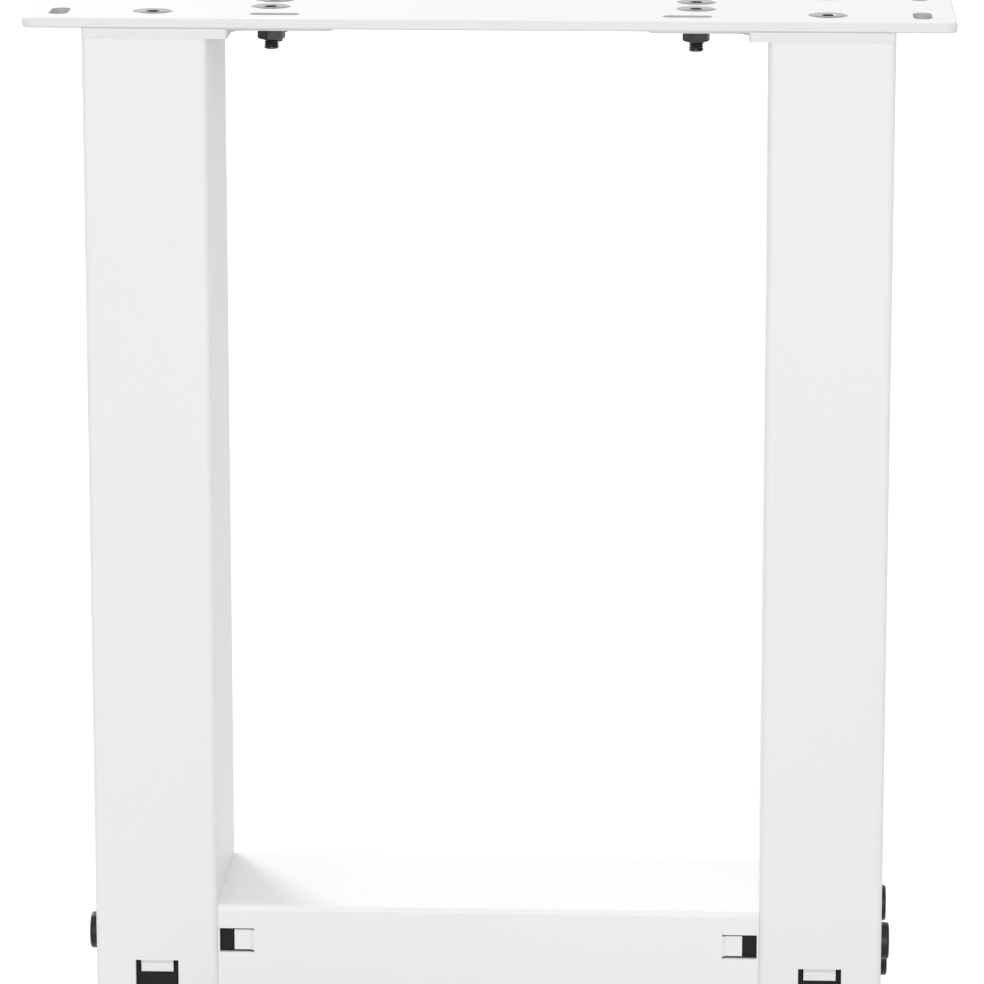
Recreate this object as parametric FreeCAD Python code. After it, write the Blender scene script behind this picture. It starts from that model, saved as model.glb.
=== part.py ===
"""U shaped table leg in powder coated steel: a mounting plate, two rectangular tube posts,
and a crossbar of the same tube near the floor.

Units are millimetres. X runs along the mounting plate, Y from the front of the leg to its
back, and Z up. The origin is on the floor, under the middle of the mounting plate.
"""
import FreeCAD
import Part
import math
import os

# Mounting plate
PLATE_WIDTH = 370.0
PLATE_DEPTH = 96.0
PLATE_THICKNESS = 4.0
PLATE_CORNER_RADIUS = 5.0
PLATE_EDGE_BREAK = 0.6

# Slots at the plate's corners, long across the plate's edge, for screws into the table top
CORNER_SLOT_LENGTH = 19.0
CORNER_SLOT_WIDTH = 7.5
CORNER_SLOT_FROM_END = 13.25
CORNER_SLOT_FROM_EDGE = 21.0

# Slots between the posts, long along the plate's edge, for screws into the table top
EDGE_SLOT_LENGTH = 20.0
EDGE_SLOT_WIDTH = 6.5
EDGE_SLOT_SPACING = 164.0
EDGE_SLOT_FROM_EDGE = 15.5

# Countersunk bolts that hold the plate to the posts' flanges
POST_BOLT_INSET = 1.5
POST_BOLT_FROM_FRONT = 22.0
POST_BOLT_PITCH = 52.0
TONGUE_BOLT_FROM_POST = 25.7
TONGUE_BOLT_PITCH = 20.0
INNER_HOLE_SHIFT = -3.3
BOLT_DIAMETER = 6.0
COUNTERSUNK_BOLT_LENGTH = 17.0
COUNTERSUNK_HEAD_DIAMETER = 15.5
COUNTERSUNK_HEAD_HEIGHT = 4.0
SOCKET_ACROSS_FLATS = 5.0
SOCKET_DEPTH = 2.4

# Nuts under the flanges' tongues
NUT_ACROSS_FLATS = 10.0
NUT_HEIGHT = 5.0
NUT_TURN = 20.0

# Posts: rectangular tubes, flush with the front edge of the mounting plate
LEG_HEIGHT = 420.0
PLATE_OVERHANG = 24.0
POST_WIDTH = 50.0
POST_DEPTH = 80.0
TUBE_WALL = 2.0
TUBE_CORNER_RADIUS = 2.5

# Flanges: as deep as the mounting plate, welded on the posts' tops, each with a narrower
# tongue towards the middle
FLANGE_THICKNESS = 4.0
FLANGE_OVERLAP = 8.0
FLANGE_CORNER_RADIUS = 1.5
TONGUE_WIDTH = 48.0
TONGUE_REACH = 48.0
TONGUE_CORNER_RADIUS = 4.0
TONGUE_FILLET = 6.0

# Crossbar: the same kind of tube on its side between the posts, a little behind their faces
BAR_HEIGHT = 50.0
BAR_SETBACK = 2.0

# Button head bolts through the posts into the crossbar's inserts
BAR_BOLT_SPACING = 52.0
BAR_BOLT_HEIGHT = 35.0
LOWER_BOLT_HEIGHT = 19.5
BAR_BOLT_GRIP = 28.0
BUTTON_HEAD_DIAMETER = 15.0
BUTTON_HEAD_HEIGHT = 3.5
BUTTON_HEAD_CROWN = 1.0

# Windows with a lanced tab that holds an insert in its tube
WINDOW_SETBACK = 0.8
WINDOW_LENGTH = 14.2
WINDOW_HEIGHT = 10.2
TAB_GAP = 0.85
TAB_LENGTH = 8.2
TAB_SET_IN = 1.2
TAB_BEND = 1.6

# Windows near the posts' lower ends
POST_WINDOW_WIDTH = 17.6
POST_WINDOW_HEIGHT = 13.0
POST_WINDOW_TOP = 26.6
POST_TAB_GAP = 2.2
POST_TAB_LENGTH = 5.2

# Plastic inserts and end plugs
INSERT_LENGTH = 40.0
PLUG_SOLE = 4.0
PLUG_SOLE_CHAMFER = 1.0
PLUG_HEIGHT = 29.0

# Clearances
BOLT_CLEARANCE = 0.3
THREAD_CLEARANCE = 0.05
INSERT_CLEARANCE = 0.2
POCKET_CLEARANCE = 0.4

# Places that follow from the sizes
FRONT = -PLATE_DEPTH / 2
PLATE_BACK = PLATE_DEPTH / 2
POST_BACK = FRONT + POST_DEPTH
POST_MIDDLE = FRONT + POST_DEPTH / 2
BAR_FRONT = FRONT + BAR_SETBACK
BAR_BACK = POST_BACK - BAR_SETBACK
POST_OUTSIDE = PLATE_WIDTH / 2 - PLATE_OVERHANG
POST_INSIDE = POST_OUTSIDE - POST_WIDTH
POST_CENTRE = POST_OUTSIDE - POST_WIDTH / 2
PLATE_UNDERSIDE = LEG_HEIGHT - PLATE_THICKNESS
FLANGE_UNDERSIDE = PLATE_UNDERSIDE - FLANGE_THICKNESS
TUBE_BOTTOM = PLUG_SOLE
BAR_TOP = TUBE_BOTTOM + BAR_HEIGHT
UPPER_BOLT_Z = TUBE_BOTTOM + BAR_BOLT_HEIGHT
LOWER_BOLT_Z = TUBE_BOTTOM + LOWER_BOLT_HEIGHT
BOLT_RADIUS = BOLT_DIAMETER / 2

UP = FreeCAD.Vector(0, 0, 1)
RIGHT = FreeCAD.Vector(1, 0, 0)
BACK = FreeCAD.Vector(0, 1, 0)


def vec(x, y, z):
    return FreeCAD.Vector(x, y, z)


def block(x_range, y_range, z_range):
    """A plain block between the given lower and upper values on each axis."""
    size = [high - low for low, high in (x_range, y_range, z_range)]
    return Part.makeBox(size[0], size[1], size[2], vec(x_range[0], y_range[0], z_range[0]))


def edges_along(shape, axis):
    """The straight edges of a shape that run along one axis."""
    found = []
    for edge in shape.Edges:
        if edge.Curve.TypeId != "Part::GeomLine":
            continue
        run = (edge.Vertexes[1].Point - edge.Vertexes[0].Point).normalize()
        if abs(abs(run.dot(axis)) - 1) < 1e-6:
            found.append(edge)
    return found


def rounded_block(x_range, y_range, z_range, radius, axis):
    """A block whose four edges along one axis are rounded."""
    shape = block(x_range, y_range, z_range)
    return shape.makeFillet(radius, edges_along(shape, axis))


def edges_at_level(shape, z):
    """The edges that lie in the horizontal plane at height z."""
    return [edge for edge in shape.Edges
            if abs(edge.BoundBox.ZMin - z) < 1e-4 and abs(edge.BoundBox.ZMax - z) < 1e-4]


def shrunk(limits, amount):
    """A range made shorter by the same amount at both ends."""
    return limits[0] + amount, limits[1] - amount


def prism(points, height):
    """A closed outline of corner points, pushed along a vector."""
    return Part.Face(Part.makePolygon(points + [points[0]])).extrude(height)


def slot_cutter(x, y, length, width, along, z_range):
    """An upright round ended slot, long along X or along Y."""
    radius = width / 2
    reach = (length - width) / 2
    height = z_range[1] - z_range[0]
    step = along * reach
    ends = [vec(x, y, z_range[0]) - step, vec(x, y, z_range[0]) + step]
    cutter = Part.makeCylinder(radius, height, ends[0])
    cutter = cutter.fuse(Part.makeCylinder(radius, height, ends[1]))
    side = along.cross(UP) * radius
    corners = [ends[0] - side, ends[1] - side, ends[1] + side, ends[0] + side]
    return cutter.fuse(prism(corners, UP * height)).removeSplitter()


def hexagon(centre, axis, across_flats, height, turn=0.0):
    """A six sided prism along Z or X."""
    radius = across_flats / math.sqrt(3)
    first = BACK if axis.dot(UP) < 0.5 else RIGHT
    second = axis.cross(first)
    corners = []
    for k in range(6):
        angle = math.radians(60 * k + turn)
        corners.append(centre + first * (radius * math.cos(angle)) + second * (radius * math.sin(angle)))
    return prism(corners, axis * height)


def turned(points, place, axis):
    """A closed half profile of (radius, height) corners, turned about an axis."""
    corners = [vec(radius, 0, height) for radius, height in points]
    face = Part.Face(Part.makePolygon(corners + [corners[0]]))
    solid = face.revolve(vec(0, 0, 0), UP, 360)
    turn = FreeCAD.Rotation(UP, axis)
    solid.Placement = FreeCAD.Placement(place, turn)
    return solid


# Hole places on the plate, used by the plate, the flanges, the bolts and the nuts
def mirrored_rows(from_edge):
    """The Y of a front row and a back row, both this far from the plate's edges."""
    return [FRONT + from_edge, PLATE_BACK - from_edge]


def post_bolt_places():
    front_row = FRONT + POST_BOLT_FROM_FRONT
    return [(side * (POST_CENTRE - POST_BOLT_INSET), y)
            for side in (-1, 1) for y in (front_row, front_row + POST_BOLT_PITCH)]


def tongue_bolt_places():
    return [(INNER_HOLE_SHIFT + side * (POST_INSIDE - TONGUE_BOLT_FROM_POST), row * TONGUE_BOLT_PITCH / 2)
            for side in (-1, 1) for row in (-1, 1)]


def corner_slot_places():
    x = PLATE_WIDTH / 2 - CORNER_SLOT_FROM_END
    return [(side * x, y) for side in (-1, 1) for y in mirrored_rows(CORNER_SLOT_FROM_EDGE)]


def edge_slot_places():
    return [(INNER_HOLE_SHIFT + side * EDGE_SLOT_SPACING / 2, y)
            for side in (-1, 1) for y in mirrored_rows(EDGE_SLOT_FROM_EDGE)]


def bar_bolt_places():
    """(Y, Z) of the three bolts at each end of the crossbar."""
    upper = [(POST_MIDDLE + row * BAR_BOLT_SPACING / 2, UPPER_BOLT_Z) for row in (-1, 1)]
    return upper + [(POST_MIDDLE, LOWER_BOLT_Z)]


def countersunk_form(place, length, grow):
    """The form of a countersunk bolt, head up, made larger all round by grow."""
    head = COUNTERSUNK_HEAD_DIAMETER / 2 + grow
    shank = BOLT_RADIUS + grow
    points = [(0, 0), (head, 0), (shank, -COUNTERSUNK_HEAD_HEIGHT), (shank, -length), (0, -length)]
    return turned(points, place, UP)


def make_top_plate():
    """Mounting plate, cut from sheet, with broken edges, slots and countersunk holes."""
    z_range = (PLATE_UNDERSIDE, LEG_HEIGHT)
    x_range = (-PLATE_WIDTH / 2, PLATE_WIDTH / 2)
    plate = rounded_block(x_range, (FRONT, PLATE_BACK), z_range, PLATE_CORNER_RADIUS, UP)
    rims = edges_at_level(plate, z_range[0]) + edges_at_level(plate, z_range[1])
    plate = plate.makeChamfer(PLATE_EDGE_BREAK, rims)
    for x, y in corner_slot_places():
        plate = plate.cut(slot_cutter(x, y, CORNER_SLOT_LENGTH, CORNER_SLOT_WIDTH, BACK, z_range))
    for x, y in edge_slot_places():
        plate = plate.cut(slot_cutter(x, y, EDGE_SLOT_LENGTH, EDGE_SLOT_WIDTH, RIGHT, z_range))
    for x, y in post_bolt_places() + tongue_bolt_places():
        plate = plate.cut(countersunk_form(vec(x, y, LEG_HEIGHT), COUNTERSUNK_BOLT_LENGTH, BOLT_CLEARANCE))
    return plate


def make_flange(side):
    """Flange on a post's top: as deep as the plate, then a tongue towards the middle."""
    near = POST_INSIDE - FLANGE_OVERLAP
    tip = POST_INSIDE - TONGUE_REACH
    z_range = (FLANGE_UNDERSIDE, PLATE_UNDERSIDE)
    tongue_side = TONGUE_WIDTH / 2
    outline = [(POST_OUTSIDE, FRONT), (POST_OUTSIDE, PLATE_BACK), (near, PLATE_BACK),
               (near, tongue_side), (tip, tongue_side), (tip, -tongue_side),
               (near, -tongue_side), (near, FRONT)]
    flange = prism([vec(x, y, z_range[0]) for x, y in outline], UP * FLANGE_THICKNESS)

    def is_inner_corner(edge):
        x, y = edge.Vertexes[0].Point.x, edge.Vertexes[0].Point.y
        return abs(x - near) < 1e-4 and abs(abs(y) - tongue_side) < 1e-4

    uprights = edges_along(flange, UP)
    flange = flange.makeFillet(TONGUE_FILLET, [edge for edge in uprights if is_inner_corner(edge)])

    def is_plate_corner(edge):
        return abs(abs(edge.Vertexes[0].Point.y) - PLATE_BACK) < 1e-4

    def is_tip_corner(edge):
        return abs(edge.Vertexes[0].Point.x - tip) < 1e-4

    for is_corner, radius in ((is_plate_corner, FLANGE_CORNER_RADIUS), (is_tip_corner, TONGUE_CORNER_RADIUS)):
        flange = flange.makeFillet(radius, [edge for edge in edges_along(flange, UP) if is_corner(edge)])
    if side < 0:
        flange = flange.mirror(vec(0, 0, 0), RIGHT)
    for places, clearance in ((post_bolt_places(), THREAD_CLEARANCE),
                              (tongue_bolt_places(), BOLT_CLEARANCE)):
        for x, y in places:
            if x * side > 0:
                hole = Part.makeCylinder(BOLT_RADIUS + clearance, FLANGE_THICKNESS, vec(x, y, z_range[0]))
                flange = flange.cut(hole)
    return flange


def lanced_tab(hinge, end, across, wall, inward):
    """A tab lanced on three sides from a tube's wall and pressed in.

    hinge and end are points on the wall's outer face, across is the vector over the tab's
    width, and inward points into the tube. The tab steps in just past its hinge.
    """
    run = (end - hinge).normalize()
    length = (end - hinge).Length
    step = inward * wall
    drop = inward * TAB_SET_IN
    bend = run * TAB_BEND
    outer = [hinge, hinge + bend + drop, hinge + run * length + drop]
    inner = [point + step for point in reversed(outer)]
    corners = [point - across / 2 for point in outer + inner]
    return prism(corners, across)


def bar_window(end_sign, face_sign):
    """Cutter and tab of one window at a crossbar end, in its front or back wall."""
    face_y = BAR_BACK if face_sign > 0 else BAR_FRONT
    inward = BACK * -face_sign
    mouth = end_sign * (POST_INSIDE - WINDOW_SETBACK)
    far = end_sign * (POST_INSIDE - WINDOW_SETBACK - WINDOW_LENGTH)
    z_range = (UPPER_BOLT_Z - WINDOW_HEIGHT / 2, UPPER_BOLT_Z + WINDOW_HEIGHT / 2)
    y_range = sorted((face_y, face_y + inward.y * TUBE_WALL))
    cutter = block(sorted((mouth, far)), y_range, z_range)
    hinge = vec(far, face_y, UPPER_BOLT_Z)
    end = hinge + RIGHT * (end_sign * TAB_LENGTH)
    across = UP * (WINDOW_HEIGHT - 2 * TAB_GAP)
    return cutter, lanced_tab(hinge, end, across, TUBE_WALL, inward)


def post_window(side, face_sign):
    """Cutter and tab of one window at a post's lower end, in its front or back wall."""
    face_y = POST_MIDDLE + face_sign * POST_DEPTH / 2
    inward = BACK * -face_sign
    centre = side * POST_CENTRE
    x_range = (centre - POST_WINDOW_WIDTH / 2, centre + POST_WINDOW_WIDTH / 2)
    top = TUBE_BOTTOM + POST_WINDOW_TOP
    y_range = sorted((face_y, face_y + inward.y * TUBE_WALL))
    cutter = block(x_range, y_range, (top - POST_WINDOW_HEIGHT, top))
    hinge = vec(centre, face_y, top)
    end = hinge - UP * POST_TAB_LENGTH
    across = RIGHT * (POST_WINDOW_WIDTH - 2 * POST_TAB_GAP)
    return cutter, lanced_tab(hinge, end, across, TUBE_WALL, inward)


def tube(x_range, y_range, z_range, axis):
    """Rectangular tube with rounded corners, open at both ends."""
    outside = rounded_block(x_range, y_range, z_range, TUBE_CORNER_RADIUS, axis)
    inner_ranges = []
    for limits, direction in ((x_range, RIGHT), (y_range, BACK), (z_range, UP)):
        along = abs(direction.dot(axis)) > 0.5
        inner_ranges.append(limits if along else shrunk(limits, TUBE_WALL))
    inner_radius = max(TUBE_CORNER_RADIUS - TUBE_WALL, 0.2)
    inside = rounded_block(inner_ranges[0], inner_ranges[1], inner_ranges[2], inner_radius, axis)
    return outside.cut(inside)


def make_post(side):
    """Upright tube with bolt holes through both side walls and a tab window front and back."""
    x_range = sorted((side * POST_INSIDE, side * POST_OUTSIDE))
    post = tube(x_range, (FRONT, POST_BACK), (TUBE_BOTTOM, FLANGE_UNDERSIDE), UP)
    for y, z in bar_bolt_places():
        hole = Part.makeCylinder(BOLT_RADIUS + BOLT_CLEARANCE, POST_WIDTH, vec(x_range[0], y, z), RIGHT)
        post = post.cut(hole)
    for face_sign in (-1, 1):
        cutter, tab = post_window(side, face_sign)
        post = post.cut(cutter).fuse(tab)
    return post.removeSplitter()


def make_crossbar():
    """Tube between the posts, with a tab window near each end, front and back."""
    x_range = (-POST_INSIDE, POST_INSIDE)
    bar = tube(x_range, (BAR_FRONT, BAR_BACK), (TUBE_BOTTOM, BAR_TOP), RIGHT)
    for end_sign in (-1, 1):
        for face_sign in (-1, 1):
            cutter, tab = bar_window(end_sign, face_sign)
            bar = bar.cut(cutter).fuse(tab)
    return bar.removeSplitter()


def make_bar_insert(side):
    """Moulded block in a crossbar end, tapped for three bolts, notched for the tabs."""
    slack = TUBE_WALL + INSERT_CLEARANCE
    x_range = sorted((side * POST_INSIDE, side * (POST_INSIDE - INSERT_LENGTH)))
    y_range = shrunk((BAR_FRONT, BAR_BACK), slack)
    insert = rounded_block(x_range, y_range, shrunk((TUBE_BOTTOM, BAR_TOP), slack),
                           TUBE_CORNER_RADIUS, RIGHT)
    pocket_depth = TAB_SET_IN + POCKET_CLEARANCE
    far = side * (POST_INSIDE - WINDOW_SETBACK - WINDOW_LENGTH - POCKET_CLEARANCE)
    free_end = far + side * (TAB_LENGTH + 2 * POCKET_CLEARANCE)
    half = WINDOW_HEIGHT / 2 - TAB_GAP + POCKET_CLEARANCE
    for edge, inward in ((y_range[0], 1), (y_range[1], -1)):
        depth = sorted((edge, edge + inward * pocket_depth))
        pocket = block(sorted((far, free_end)), depth, (UPPER_BOLT_Z - half, UPPER_BOLT_Z + half))
        insert = insert.cut(pocket)
    for y, z in bar_bolt_places():
        start = vec(side * POST_INSIDE, y, z)
        bore = Part.makeCylinder(BOLT_RADIUS + THREAD_CLEARANCE, BAR_BOLT_GRIP + 2, start, RIGHT * -side)
        insert = insert.cut(bore)
    return insert


def make_end_plug(side):
    """Plug pushed into a post's lower end: a sole the size of the tube, and a body inside it."""
    x_range = sorted((side * POST_INSIDE, side * POST_OUTSIDE))
    y_range = (FRONT, POST_BACK)
    sole = rounded_block(x_range, y_range, (0, PLUG_SOLE), TUBE_CORNER_RADIUS, UP)
    sole = sole.makeChamfer(PLUG_SOLE_CHAMFER, edges_at_level(sole, 0))
    slack = TUBE_WALL + INSERT_CLEARANCE
    body_x = shrunk(x_range, slack)
    body_y = shrunk(y_range, slack)
    top = PLUG_SOLE + PLUG_HEIGHT
    body = rounded_block(body_x, body_y, (PLUG_SOLE / 2, top), TUBE_CORNER_RADIUS, UP)
    plug = sole.fuse(body).removeSplitter()
    tab_top = TUBE_BOTTOM + POST_WINDOW_TOP + POCKET_CLEARANCE
    tab_end = TUBE_BOTTOM + POST_WINDOW_TOP - POST_TAB_LENGTH - POCKET_CLEARANCE
    half = POST_WINDOW_WIDTH / 2 - POST_TAB_GAP + POCKET_CLEARANCE
    centre = side * POST_CENTRE
    for edge, inward in ((body_y[0], 1), (body_y[1], -1)):
        depth = sorted((edge, edge + inward * (TAB_SET_IN + POCKET_CLEARANCE)))
        plug = plug.cut(block((centre - half, centre + half), depth, (tab_end, tab_top)))
    bore = Part.makeCylinder(BOLT_RADIUS + BOLT_CLEARANCE, POST_WIDTH,
                             vec(x_range[0], POST_MIDDLE, LOWER_BOLT_Z), RIGHT)
    return plug.cut(bore)


def make_countersunk_bolt(x, y):
    """Countersunk bolt with a hexagon socket, its head flush with the plate's top."""
    place = vec(x, y, LEG_HEIGHT)
    bolt = countersunk_form(place, COUNTERSUNK_BOLT_LENGTH, 0)
    return bolt.cut(hexagon(place, UP * -1, SOCKET_ACROSS_FLATS, SOCKET_DEPTH))


def make_nut(x, y):
    """Hexagon nut against the underside of a flange's tongue."""
    base = vec(x, y, FLANGE_UNDERSIDE - NUT_HEIGHT)
    nut = hexagon(base, UP, NUT_ACROSS_FLATS, NUT_HEIGHT, NUT_TURN)
    return nut.cut(Part.makeCylinder(BOLT_RADIUS + THREAD_CLEARANCE, NUT_HEIGHT, base))


def make_bar_bolt(side, y, z):
    """Button head bolt, from a post's outer face through the post into the insert."""
    radius = BUTTON_HEAD_DIAMETER / 2
    length = POST_WIDTH + BAR_BOLT_GRIP
    points = [(0, -length), (BOLT_RADIUS, -length), (BOLT_RADIUS, 0), (radius, 0),
              (radius, BUTTON_HEAD_HEIGHT - BUTTON_HEAD_CROWN),
              (radius - BUTTON_HEAD_CROWN, BUTTON_HEAD_HEIGHT), (0, BUTTON_HEAD_HEIGHT)]
    outward = RIGHT * side
    place = vec(side * POST_OUTSIDE, y, z)
    bolt = turned(points, place, outward)
    mouth = place + outward * BUTTON_HEAD_HEIGHT
    return bolt.cut(hexagon(mouth, outward * -1, SOCKET_ACROSS_FLATS, SOCKET_DEPTH))


def save(name, solids):
    """Write one node: a single solid, or a group of separate solids."""
    shape = solids[0] if len(solids) == 1 else Part.makeCompound(solids)
    if not shape.isValid():
        raise RuntimeError(name + " is not valid")
    shape.exportStep("parts/" + name + ".step")
    print(name, len(shape.Solids), "solids,", round(shape.Volume / 1000, 2), "cm3")


def as_solid(shape):
    """The single solid that a cut or a fuse leaves."""
    if len(shape.Solids) != 1:
        raise RuntimeError("expected one solid, found " + str(len(shape.Solids)))
    return shape.Solids[0]


os.makedirs("parts", exist_ok=True)
save("top_plate", [as_solid(make_top_plate())])
for side_name, side_sign in (("left", -1), ("right", 1)):
    save(side_name + "_post", [as_solid(make_post(side_sign))])
    save(side_name + "_flange", [as_solid(make_flange(side_sign))])
    save(side_name + "_bar_insert", [as_solid(make_bar_insert(side_sign))])
    save(side_name + "_end_plug", [as_solid(make_end_plug(side_sign))])
save("crossbar", [as_solid(make_crossbar())])
save("countersunk_bolts", [as_solid(make_countersunk_bolt(x, y))
                           for x, y in post_bolt_places() + tongue_bolt_places()])
save("tongue_nuts", [as_solid(make_nut(x, y)) for x, y in tongue_bolt_places()])
save("bar_bolts", [as_solid(make_bar_bolt(side, y, z))
                   for side in (-1, 1) for y, z in bar_bolt_places()])
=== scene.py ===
"""U shaped table leg in white powder coated steel: the finishes of its pieces, and a plain studio."""

import math

import bpy
import numpy as np
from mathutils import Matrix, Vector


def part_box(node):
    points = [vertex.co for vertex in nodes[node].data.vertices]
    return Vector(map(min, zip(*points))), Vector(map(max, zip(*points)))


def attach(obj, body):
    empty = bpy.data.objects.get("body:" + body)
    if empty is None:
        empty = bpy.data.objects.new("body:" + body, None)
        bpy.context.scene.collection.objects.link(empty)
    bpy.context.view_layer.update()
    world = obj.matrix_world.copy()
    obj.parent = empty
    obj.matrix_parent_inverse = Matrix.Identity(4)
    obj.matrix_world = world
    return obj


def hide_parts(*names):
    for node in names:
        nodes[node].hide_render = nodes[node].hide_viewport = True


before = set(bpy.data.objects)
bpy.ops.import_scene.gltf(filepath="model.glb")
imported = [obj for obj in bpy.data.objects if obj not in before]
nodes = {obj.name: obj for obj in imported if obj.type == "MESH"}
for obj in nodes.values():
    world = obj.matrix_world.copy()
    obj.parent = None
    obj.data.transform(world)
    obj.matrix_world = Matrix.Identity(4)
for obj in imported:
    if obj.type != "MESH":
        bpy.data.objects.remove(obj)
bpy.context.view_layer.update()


# Mounting plate
# A steel sheet cut to shape, with slots for the screws into the table top and countersunk holes for its own
# bolts. It is powder coated white, in a satin finish with a fine orange peel. The walls of its holes and
# slots carry a painted shade, a flat grey.
def make_grain_group():
    """Group: the grain of a surface, from a fine noise and a broad one.

    The fine noise is the height. The broad one mixes the dark colour with the light one, and
    the low roughness with the high one.
    """
    fine_detail, broad_detail = 2.0, 3.0
    group = bpy.data.node_groups.new("surface_grain", "ShaderNodeTree")
    face = group.interface
    face.new_socket("Vector", in_out="INPUT", socket_type="NodeSocketVector")
    for name in ("Fine Scale", "Broad Scale", "Rough Low", "Rough High"):
        face.new_socket(name, in_out="INPUT", socket_type="NodeSocketFloat")
    for name in ("Dark Colour", "Light Colour"):
        face.new_socket(name, in_out="INPUT", socket_type="NodeSocketColor")
    face.new_socket("Colour", in_out="OUTPUT", socket_type="NodeSocketColor")
    face.new_socket("Roughness", in_out="OUTPUT", socket_type="NodeSocketFloat")
    face.new_socket("Height", in_out="OUTPUT", socket_type="NodeSocketFloat")
    made, link = group.nodes, group.links.new
    inputs, outputs = made.new("NodeGroupInput"), made.new("NodeGroupOutput")
    fine, broad = made.new("ShaderNodeTexNoise"), made.new("ShaderNodeTexNoise")
    fine.inputs["Detail"].default_value = fine_detail
    broad.inputs["Detail"].default_value = broad_detail
    for noise, scale in ((fine, "Fine Scale"), (broad, "Broad Scale")):
        link(inputs.outputs["Vector"], noise.inputs["Vector"])
        link(inputs.outputs[scale], noise.inputs["Scale"])
    colour = made.new("ShaderNodeMix")
    colour.data_type = "RGBA"
    link(broad.outputs["Fac"], colour.inputs[0])
    link(inputs.outputs["Dark Colour"], colour.inputs[6])
    link(inputs.outputs["Light Colour"], colour.inputs[7])
    rough = made.new("ShaderNodeMapRange")
    link(broad.outputs["Fac"], rough.inputs["Value"])
    link(inputs.outputs["Rough Low"], rough.inputs["To Min"])
    link(inputs.outputs["Rough High"], rough.inputs["To Max"])
    link(colour.outputs[2], outputs.inputs["Colour"])
    link(rough.outputs["Result"], outputs.inputs["Roughness"])
    link(fine.outputs["Fac"], outputs.inputs["Height"])
    return group


grain_group = make_grain_group()


def grained_finish(name, dark, light, rough, fine_scale, broad_scale, bump_strength, bump_height,
                   edge_round, metallic=0.0, gloss=0.5, wax=0.0):
    """A finish with the grain's colours and roughness.

    The grain's height is a bump, laid over edges that the shading rounds. Wax is the weight of
    a thin clear film on top.
    """
    wax_roughness, edge_samples = 0.12, 6
    finish = bpy.data.materials.new(name)
    finish.use_nodes = True
    made, link = finish.node_tree.nodes, finish.node_tree.links.new
    shader = made["Principled BSDF"]
    shader.inputs["Metallic"].default_value = metallic
    shader.inputs["Specular IOR Level"].default_value = gloss
    shader.inputs["Coat Weight"].default_value = wax
    shader.inputs["Coat Roughness"].default_value = wax_roughness
    place, grain = made.new("ShaderNodeTexCoord"), made.new("ShaderNodeGroup")
    grain.node_tree = grain_group
    for socket, value in (("Fine Scale", fine_scale), ("Broad Scale", broad_scale),
                          ("Rough Low", rough[0]), ("Rough High", rough[1]),
                          ("Dark Colour", (*dark, 1.0)), ("Light Colour", (*light, 1.0))):
        grain.inputs[socket].default_value = value
    bump, edge = made.new("ShaderNodeBump"), made.new("ShaderNodeBevel")
    bump.inputs["Strength"].default_value = bump_strength
    bump.inputs["Distance"].default_value = bump_height
    edge.samples = edge_samples
    edge.inputs["Radius"].default_value = edge_round
    link(place.outputs["Object"], grain.inputs["Vector"])
    link(grain.outputs["Colour"], shader.inputs["Base Color"])
    link(grain.outputs["Roughness"], shader.inputs["Roughness"])
    link(grain.outputs["Height"], bump.inputs["Height"])
    link(edge.outputs["Normal"], bump.inputs["Normal"])
    link(bump.outputs["Normal"], shader.inputs["Normal"])
    return finish


def paint_hole_shade(finish, low, high, margin, colour):
    """The surfaces inside a box, by more than a margin, take a colour of their own: a painted shade.

    The mask is the product of one test for each axis, which is one where the coordinate is no
    further from the box's middle than half the box less the margin, and nought elsewhere.
    """
    made, link = finish.node_tree.nodes, finish.node_tree.links.new
    split = made.new("ShaderNodeSeparateXYZ")
    link(made["Texture Coordinate"].outputs["Object"], split.inputs[0])
    tests = []
    for axis in range(3):
        test = made.new("ShaderNodeMath")
        test.operation = "COMPARE"
        link(split.outputs[axis], test.inputs[0])
        test.inputs[1].default_value = (low[axis] + high[axis]) / 2
        test.inputs[2].default_value = (high[axis] - low[axis]) / 2 - margin[axis]
        tests.append(test.outputs[0])
    mask = tests[0]
    for test in tests[1:]:
        product = made.new("ShaderNodeMath")
        product.operation = "MULTIPLY"
        link(mask, product.inputs[0])
        link(test, product.inputs[1])
        mask = product.outputs[0]
    mixed = made.new("ShaderNodeMix")
    mixed.data_type = "RGBA"
    link(mask, mixed.inputs[0])
    link(made["Group"].outputs["Colour"], mixed.inputs[6])
    mixed.inputs[7].default_value = (*colour, 1.0)
    link(mixed.outputs[2], made["Principled BSDF"].inputs["Base Color"])


def finish_node(name, finish):
    """A CAD node keeps its mesh and takes a finish in all its material slots."""
    for slot in nodes[name].material_slots:
        slot.material = finish


coat_look = dict(rough=(0.40, 0.48), fine_scale=900.0, broad_scale=14.0,
                 bump_strength=0.10, bump_height=0.00010)
# The plate's and flanges' tones are a shade darker than the posts': painted shade that brings their faces
# down to how bright they look.
plate_tones = dict(dark=(0.775, 0.775, 0.77), light=(0.795, 0.795, 0.79))
plate_edge_round = 0.0001
# A flat grey on the walls of the plate's holes and slots: painted shade inside them.
hole_shade_colour = (0.50, 0.50, 0.50)
hole_shade_margin = (0.0025, 0.0025, 0.00005)

plate_low, plate_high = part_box("top_plate")
plate_coat = grained_finish("plate_powder_coat", edge_round=plate_edge_round, **plate_tones, **coat_look)
paint_hole_shade(plate_coat, plate_low, plate_high, hole_shade_margin, hole_shade_colour)
finish_node("top_plate", plate_coat)


# Flanges
# Two steel plates welded on the posts' tops, each with a narrower tongue towards the middle
# that carries bolts. Their coat has the mounting plate's tone.
flange_coat = grained_finish("flange_powder_coat", edge_round=plate_edge_round, **plate_tones, **coat_look)
for name in ("left_flange", "right_flange"):
    finish_node(name, flange_coat)


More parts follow.
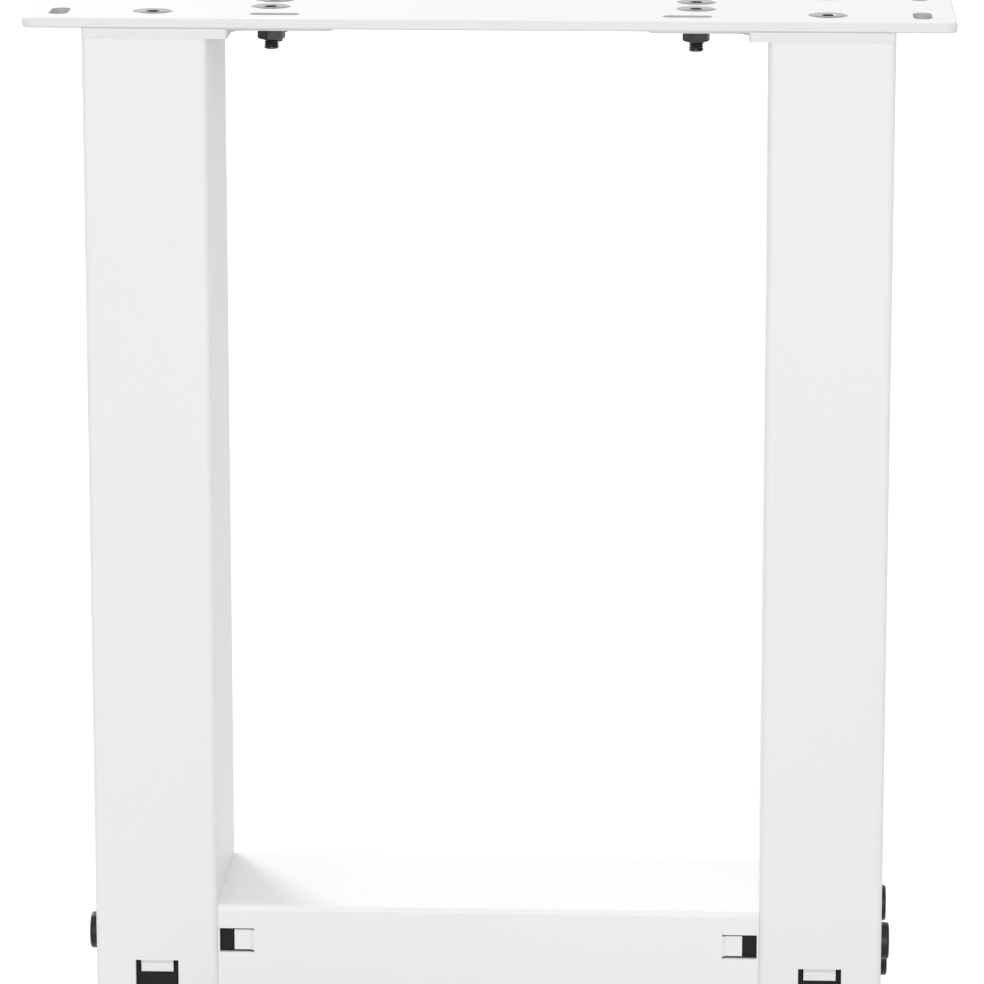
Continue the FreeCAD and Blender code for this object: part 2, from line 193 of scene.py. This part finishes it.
# Posts
# Two rectangular steel tubes, coated after cutting, each with a window low on its faces
# whose tab is pressed into the end plug.
post_coat = grained_finish("white_powder_coat", dark=(0.83, 0.83, 0.825), light=(0.85, 0.85, 0.845),
                           edge_round=0.0003, **coat_look)
for name in ("left_post", "right_post"):
    finish_node(name, post_coat)


# Crossbar
# The same tube laid flat between the posts, with a window near each end whose tab holds
# the insert behind it.
# The crossbar's tones are a shade lighter than the posts': painted light that brings its faces up to how
# bright they look.
crossbar_coat = grained_finish("crossbar_powder_coat", dark=(0.855, 0.855, 0.85),
                               light=(0.875, 0.875, 0.87), edge_round=0.0002, **coat_look)
finish_node("crossbar", crossbar_coat)


# Inserts and end plugs
# Black moulded plastic, matte with a fine grain. The inserts are pushed into the crossbar's
# ends and the plugs into the posts' lower ends.
black_plastic = grained_finish("black_plastic", dark=(0.007, 0.007, 0.007), light=(0.012, 0.012, 0.0125),
                               rough=(0.5, 0.62), fine_scale=1600.0, broad_scale=40.0,
                               bump_strength=0.2, bump_height=0.00008, edge_round=0.0003, gloss=0.2)
for name in ("left_bar_insert", "right_bar_insert", "left_end_plug", "right_end_plug"):
    finish_node(name, black_plastic)


# Countersunk bolts
# Black steel bolts with a waxy film, flush in the plate, each with a hexagon socket and an M6
# thread down to its tip. The four inner ones show below their nuts.
def hexagon_radius(angles, across_flats):
    """Distance from a hexagon's centre to its side at each angle, with a corner at nought.

    It is half the width across the flats, over the cosine of the angle to the nearest flat.
    """
    return across_flats / 2 / np.cos(np.mod(angles, math.pi / 3) - math.pi / 6)


def profile_rows(profile, sides):
    """Rows of radii and heights, one row to each (radius, height) pair of a profile.

    A radius or height is the same at every angle, or a whole row that changes with the angle.
    """
    radii = np.array([np.broadcast_to(radius, sides) for radius, height in profile], dtype=float)
    heights = np.array([np.broadcast_to(height, sides) for radius, height in profile], dtype=float)
    return radii, heights


def threaded_rows(radius, depth, pitch, low, high, sides, rows_per_turn=6):
    """Rows of a screw thread: a groove of this depth that climbs one pitch to a turn.

    The radius falls by the depth where the height, in pitches, less the turned angle, in
    turns, is halfway between whole numbers, with straight flanks and a flat crest and root.
    The depth grows from nought over one pitch at each end.
    """
    flank_slope, crest_share = 1.5, 0.25
    heights = np.arange(low, high, pitch / rows_per_turn)[:, None] + np.zeros(sides)
    turns = heights / pitch - np.arange(sides) / sides
    groove = 1 - np.abs(2 * np.mod(turns, 1) - 1)
    fade = np.clip(np.minimum(heights - low, high - heights) / pitch, 0, 1)
    return radius - depth * fade * np.clip(flank_slope * groove - crest_share, 0, 1), heights


def joined_rows(*parts):
    """The rows of several parts of a profile, one after the other."""
    return tuple(np.concatenate([part[k] for part in parts]) for k in range(2))


def ring_surface(radii, heights, hollow=False):
    """Points and faces of stacked rings about Z, one row of radii and heights to a ring.

    A point lies at the radius times the cosine and sine of its angle, and at its height. A
    hollow form joins its last ring to its first. Any other closes on a point of the axis at
    each end, level with the end ring. Rings that rise along the outside face outwards.
    """
    rows, sides = radii.shape
    angles = np.arange(sides) * 2 * math.pi / sides
    points = np.stack((radii * np.cos(angles), radii * np.sin(angles), heights), axis=2).reshape(-1, 3)
    row, side = np.meshgrid(np.arange(rows if hollow else rows - 1), np.arange(sides), indexing="ij")
    here, above = row * sides, (row + 1) % rows * sides
    following = (side + 1) % sides
    quads = np.stack((here + side, here + following, above + following, above + side), axis=2)
    quads = quads.reshape(-1, 4)
    if hollow:
        return points, [quads]
    poles = np.array(((0, 0, heights[0].mean()), (0, 0, heights[-1].mean())))
    side, following = side[0], following[0]
    low_cap = np.stack((np.full(sides, rows * sides), following, side), axis=1)
    last = (rows - 1) * sides
    high_cap = np.stack((np.full(sides, rows * sides + 1), last + side, last + following), axis=1)
    return np.concatenate((points, poles)), [quads, low_cap, high_cap]


def repeated_piece(name, form, frames, finish, smooth_angle=40.0):
    """One mesh with a copy of a form at every frame, a frame being a place and three axes.

    A copied point is the frame's place plus each coordinate times its axis. Edges sharper
    than the smooth angle, in degrees, stay sharp.
    """
    points, faces = form
    places = np.array([place for place, axes in frames])
    axes = np.array([axes for place, axes in frames])
    copies = places[:, None, :] + np.einsum("pk,nkc->npc", points, axes)
    steps = np.arange(len(frames)) * len(points)
    mesh = bpy.data.meshes.new(name)
    corners = [(part[None] + steps[:, None, None]).reshape(-1, part.shape[1]) for part in faces]
    starts = np.cumsum(np.concatenate([[0]] + [np.full(len(part), part.shape[1]) for part in corners]))
    loops = np.concatenate([part.reshape(-1) for part in corners])
    mesh.vertices.add(copies.shape[0] * copies.shape[1])
    mesh.vertices.foreach_set("co", copies.reshape(-1))
    mesh.loops.add(len(loops))
    mesh.loops.foreach_set("vertex_index", loops)
    mesh.polygons.add(len(starts) - 1)
    mesh.polygons.foreach_set("loop_start", starts[:-1])
    mesh.update(calc_edges=True)
    mesh.validate()
    mesh.shade_smooth()
    mesh.set_sharp_from_angle(angle=math.radians(smooth_angle))
    mesh.materials.append(finish)
    piece = bpy.data.objects.new(name, mesh)
    bpy.context.scene.collection.objects.link(piece)
    return piece


steel_look = dict(fine_scale=2200.0, broad_scale=120.0, bump_strength=0.12, bump_height=0.00004,
                  edge_round=0.0002)
waxed_steel = grained_finish("waxed_black_steel", dark=(0.025, 0.025, 0.026), light=(0.045, 0.045, 0.047),
                             rough=(0.30, 0.42), metallic=0.9, wax=0.85, **steel_look)

bolt_sides = 36
bolt_radius, thread_pitch, thread_depth = 0.0030, 0.0010, 0.0005
tip_radius, tip_height = 0.0026, 0.0004
run_out, edge_break = 0.0005, 0.0002
socket_width, socket_depth = 0.0050, 0.0024
drill_radius, drill_depth = 0.0005, 0.0008
sink_radius, sink_height, sink_neck, sink_length = 0.00775, 0.0040, 0.0050, 0.0170
sink_rim, sink_rim_break = 0.0003, 0.0001

bolt_angles = np.arange(bolt_sides) * 2 * math.pi / bolt_sides
socket = hexagon_radius(bolt_angles, socket_width)


def threaded_end(length, thread_top):
    """Rows of a bolt's flat tip and of its thread, up to the height where the thread ends."""
    tip = profile_rows([(tip_radius, -length)], bolt_sides)
    thread = threaded_rows(bolt_radius, thread_depth, thread_pitch, tip_height - length, thread_top,
                           bolt_sides)
    return joined_rows(tip, thread)


sink_head = profile_rows([(bolt_radius, -sink_neck), (bolt_radius, -sink_height), (sink_radius, -sink_rim),
                          (sink_radius, -sink_rim_break), (sink_radius - edge_break, 0.0),
                          (socket + edge_break, 0.0), (socket, -edge_break), (socket, -socket_depth),
                          (drill_radius, -socket_depth - drill_depth)], bolt_sides)
sink_rows = joined_rows(threaded_end(sink_length, -sink_neck - run_out), sink_head)

post_bolt_inset, post_bolt_from_front, post_bolt_pitch = 0.0015, 0.0220, 0.0520
tongue_bolt_from_post, tongue_bolt_pitch, tongue_shift = 0.0257, 0.0200, -0.0033
post_low, post_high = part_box("right_post")
post_bolt_reach = (post_low.x + post_high.x) / 2 - post_bolt_inset
tongue_bolt_reach = post_low.x - tongue_bolt_from_post
front_row = plate_low.y + post_bolt_from_front
post_bolt_places = [(side * post_bolt_reach, y)
                    for side in (-1, 1) for y in (front_row, front_row + post_bolt_pitch)]
tongue_bolt_places = [(tongue_shift + side * tongue_bolt_reach, row * tongue_bolt_pitch / 2)
                      for side in (-1, 1) for row in (-1, 1)]
upright = np.eye(3)
sink_frames = [((x, y, plate_high.z), upright) for x, y in post_bolt_places + tongue_bolt_places]
sink_bolts = repeated_piece("sunk_bolts", ring_surface(*sink_rows), sink_frames, waxed_steel)
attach(sink_bolts, "root")
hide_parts("countersunk_bolts")


# Nuts
# Hexagon nuts on the inner bolts, tight against the undersides of the tongues, with their
# corners cut by a cone on both faces.
dark_steel = grained_finish("black_plated_steel", dark=(0.058, 0.058, 0.059), light=(0.085, 0.085, 0.087),
                            rough=(0.42, 0.52), metallic=0.9, **steel_look)

nut_width, nut_height, nut_bore, bore_break = 0.0100, 0.0050, 0.00305, 0.0003
nut_face_radius, cone_radius, cone_angle = 0.0047, 0.0049, math.radians(30.0)
nut_turn, nut_smooth_angle = math.radians(20.0), 20.0

nut_outline = hexagon_radius(bolt_angles, nut_width)
corner_cut = np.maximum(nut_outline - cone_radius, 0.0) * math.tan(cone_angle)
nut_rows = profile_rows([(nut_bore, bore_break), (nut_bore + bore_break, 0.0), (nut_face_radius, 0.0),
                         (nut_outline, corner_cut), (nut_outline, nut_height - corner_cut),
                         (nut_face_radius, nut_height), (nut_bore + bore_break, nut_height),
                         (nut_bore, nut_height - bore_break)], bolt_sides)
turned_axes = np.array(((math.cos(nut_turn), math.sin(nut_turn), 0.0),
                        (-math.sin(nut_turn), math.cos(nut_turn), 0.0), (0.0, 0.0, 1.0)))
nut_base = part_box("tongue_nuts")[0].z
nut_frames = [((x, y, nut_base), turned_axes) for x, y in tongue_bolt_places]
nuts = repeated_piece("hexagon_nuts", ring_surface(*nut_rows, hollow=True), nut_frames, dark_steel,
                      smooth_angle=nut_smooth_angle)
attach(nuts, "root")
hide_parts("tongue_nuts")


# Crossbar bolts
# Button head bolts that go through the posts into the crossbar's inserts. The head is low,
# with a rounded rim, and the thread takes the last stretch of the shank.
blackened_steel = grained_finish("blackened_steel", dark=(0.022, 0.022, 0.023), light=(0.042, 0.042, 0.043),
                                 rough=(0.28, 0.40), metallic=0.8, gloss=0.3, **steel_look)

head_radius, head_height, head_crown = 0.0075, 0.0035, 0.0001
rim_round, rim_steps = 0.0010, 6
mouth_width, mouth_depth = 0.0004, 0.0003
bar_bolt_length, bar_thread_length = 0.0780, 0.0260
upper_bolt_spacing, upper_bolt_height, lower_bolt_height = 0.0520, 0.0350, 0.0195

thread_top = bar_thread_length - bar_bolt_length
head_start = [(bolt_radius, thread_top + run_out), (bolt_radius, -edge_break),
              (bolt_radius + edge_break, 0.0), (head_radius - edge_break, 0.0), (head_radius, edge_break)]
rim = [(head_radius - rim_round * (1 - math.cos(angle)),
        head_height - head_crown - rim_round * (1 - math.sin(angle)))
       for angle in np.linspace(0.0, math.pi / 2, rim_steps)]
socket_floor = head_height - socket_depth
head_socket = [(socket + mouth_width, head_height), (socket, head_height - mouth_depth),
               (socket, socket_floor), (drill_radius, socket_floor - drill_depth)]
button_head = profile_rows(head_start + rim + head_socket, bolt_sides)
bar_bolt_rows = joined_rows(threaded_end(bar_bolt_length, thread_top), button_head)

bar_low, bar_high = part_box("crossbar")
bar_middle = (bar_low.y + bar_high.y) / 2
bar_bolt_places = [(bar_middle + row * upper_bolt_spacing / 2, bar_low.z + upper_bolt_height)
                   for row in (-1, 1)]
bar_bolt_places += [(bar_middle, bar_low.z + lower_bolt_height)]
bar_frames = [((side * post_high.x, y, z), np.array(((0, side, 0), (0, 0, 1), (side, 0, 0))))
              for side in (-1, 1) for y, z in bar_bolt_places]
bar_bolts = repeated_piece("button_head_bolts", ring_surface(*bar_bolt_rows), bar_frames, blackened_steel)
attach(bar_bolts, "root")
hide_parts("bar_bolts")


# Floor
# A plain pale floor. Camera, gloss and glass rays see it lifted to white, a little more where
# it is far from the lamps. Its own colour answers to the lights, so it keeps the leg's shadow.
floor_reach = 14.0
floor_colour = (0.58, 0.58, 0.58, 1.0)
near_lift, far_lift = 0.43, 0.56
lift_starts, lift_ends = 0.8, 3.5


def seen_directly(made, link):
    """One for camera, glossy and transmission rays, nought for the rays that light the object."""
    path = made.new("ShaderNodeLightPath")
    first, both = made.new("ShaderNodeMath"), made.new("ShaderNodeMath")
    first.operation = both.operation = "MAXIMUM"
    link(path.outputs["Is Camera Ray"], first.inputs[0])
    link(path.outputs["Is Glossy Ray"], first.inputs[1])
    link(first.outputs[0], both.inputs[0])
    link(path.outputs["Is Transmission Ray"], both.inputs[1])
    return both.outputs[0]


def make_floor_paint():
    """Diffuse colour plus a white glow.

    The glow's strength is the lift, which grows with the distance from the middle, times one
    for directly seen rays and nought for all others.
    """
    paint = bpy.data.materials.new("pale_floor")
    paint.use_nodes = True
    made, link = paint.node_tree.nodes, paint.node_tree.links.new
    made.remove(made["Principled BSDF"])
    place, distance = made.new("ShaderNodeTexCoord"), made.new("ShaderNodeVectorMath")
    distance.operation = "LENGTH"
    link(place.outputs["Object"], distance.inputs[0])
    lift = made.new("ShaderNodeMapRange")
    link(distance.outputs["Value"], lift.inputs["Value"])
    for socket, value in (("From Min", lift_starts), ("From Max", lift_ends),
                          ("To Min", near_lift), ("To Max", far_lift)):
        lift.inputs[socket].default_value = value
    gain = made.new("ShaderNodeMath")
    gain.operation = "MULTIPLY"
    link(seen_directly(made, link), gain.inputs[0])
    link(lift.outputs["Result"], gain.inputs[1])
    colour, glow = made.new("ShaderNodeBsdfDiffuse"), made.new("ShaderNodeEmission")
    colour.inputs["Color"].default_value = floor_colour
    link(gain.outputs[0], glow.inputs["Strength"])
    total = made.new("ShaderNodeAddShader")
    link(colour.outputs[0], total.inputs[0])
    link(glow.outputs[0], total.inputs[1])
    link(total.outputs[0], made["Material Output"].inputs["Surface"])
    return paint


floor_mesh = bpy.data.meshes.new("floor")
floor_corners = np.array([(-1, -1, 0), (1, -1, 0), (1, 1, 0), (-1, 1, 0)]) * floor_reach
floor_mesh.from_pydata(floor_corners.tolist(), [], [(0, 1, 2, 3)])
floor_mesh.materials.append(make_floor_paint())
floor = bpy.data.objects.new("floor", floor_mesh)
bpy.context.scene.collection.objects.link(floor)


# Light
# A white surround, brighter towards one side, and two soft round lamps: the key, high behind
# the left post, lays the post's shadow on the crossbar, and a broad one stands in front.
surround_level, surround_lean = 0.69, 0.29
brighter_side = (-0.24, -0.16, 0.91)
lamp_aim = (0.0, 0.0, 0.2)
lamps = (("key", (-1.3, 2.2, 2.3), 0.9, 44.0),
         ("front", (0.2, -3.0, 0.6), 2.2, 30.0))


def make_surround():
    """World: white, of strength one for directly seen rays.

    For other rays the strength runs from the level less the lean to the level plus the lean,
    with the dot product of the ray's direction and the brighter side.
    """
    world = bpy.data.worlds.new("surround")
    world.use_nodes = True
    made, link = world.node_tree.nodes, world.node_tree.links.new
    place, share = made.new("ShaderNodeTexCoord"), made.new("ShaderNodeVectorMath")
    share.operation = "DOT_PRODUCT"
    share.inputs[1].default_value = brighter_side
    link(place.outputs["Generated"], share.inputs[0])
    level, pick = made.new("ShaderNodeMapRange"), made.new("ShaderNodeMix")
    level.inputs["From Min"].default_value = -1.0
    level.inputs["To Min"].default_value = surround_level - surround_lean
    level.inputs["To Max"].default_value = surround_level + surround_lean
    link(share.outputs["Value"], level.inputs["Value"])
    link(seen_directly(made, link), pick.inputs[0])
    link(level.outputs["Result"], pick.inputs[2])
    pick.inputs[3].default_value = 1.0
    made["Background"].inputs["Color"].default_value = (1.0, 1.0, 1.0, 1.0)
    link(pick.outputs[0], made["Background"].inputs["Strength"])
    return world


bpy.context.scene.world = make_surround()
for name, place, width, power in lamps:
    lamp = bpy.data.lights.new(name, "AREA")
    lamp.shape = "DISK"
    lamp.size = width
    lamp.energy = power
    holder = bpy.data.objects.new(name, lamp)
    holder.location = place
    east, north, height = np.subtract(lamp_aim, place)
    tilt, turn = math.atan2(math.hypot(east, north), -height), math.atan2(-east, north)
    holder.rotation_euler = (tilt, 0.0, turn)
    bpy.context.scene.collection.objects.link(holder)


# Camera
# A long lens in front of the leg, a little right of its middle and above the plate. It looks
# down and to the left, and its horizon is level.
camera_place = (0.098, -2.1601, 0.7161)
camera_down, camera_left = 12.96, 2.606
lens, sensor_width, clip_end = 197.56, 36.0, 100.0

camera_data = bpy.data.cameras.new("camera")
camera_data.sensor_fit = "HORIZONTAL"
camera_data.sensor_width = sensor_width
camera_data.lens = lens
camera_data.clip_end = clip_end
camera = bpy.data.objects.new("camera", camera_data)
camera.location = camera_place
camera.rotation_euler = (math.radians(90.0 - camera_down), 0.0, math.radians(camera_left))
bpy.context.scene.collection.objects.link(camera)
bpy.context.scene.camera = camera
bpy.context.scene.view_settings.view_transform = "Standard"
